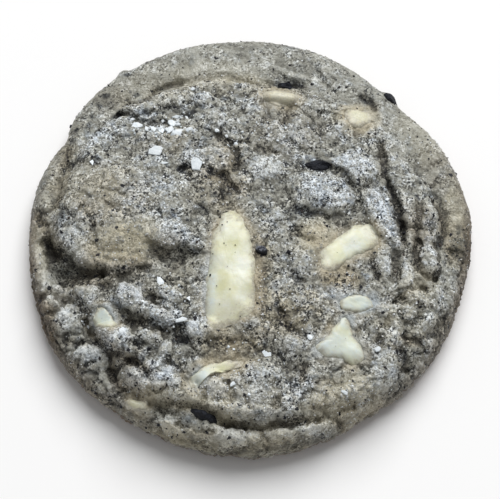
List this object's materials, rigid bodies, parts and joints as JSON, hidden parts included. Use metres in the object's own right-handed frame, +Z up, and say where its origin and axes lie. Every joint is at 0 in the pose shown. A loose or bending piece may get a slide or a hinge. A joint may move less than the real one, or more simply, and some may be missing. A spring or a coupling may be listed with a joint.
{
  "type": "cookies and cream cookie",
  "caption": "Thick round cookies and cream cookie of grey, crumb-flecked dough with white chocolate chunks, dark cookie pieces and salt flakes.",
  "frame": {"origin": "middle of the bounding box at the flat underside, on the ground", "axes": "+Z up through the cookie's thickness, +Y towards the far side in the picture, +X to its right"},
  "size_m": [0.0903, 0.0912, 0.018],
  "materials": {
    "dough": "matte",
    "white_chocolate": "satin",
    "dark_cookie": "matte"
  },
  "bodies": {
    "root": {"dough": "dough", "white_chocolate_1": "white_chocolate", "white_chocolate_2": "white_chocolate", "white_chocolate_3": "white_chocolate", "white_chocolate_4": "white_chocolate", "white_chocolate_5": "white_chocolate", "white_chocolate_6": "white_chocolate", "white_chocolate_7": "white_chocolate", "white_chocolate_8": "white_chocolate", "white_chocolate_9": "white_chocolate", "cookie_piece_1": "dark_cookie", "cookie_piece_2": "dark_cookie", "cookie_piece_3": "dark_cookie", "cookie_piece_4": "dark_cookie", "cookie_piece_5": "dark_cookie"}
  },
  "joints": []
}
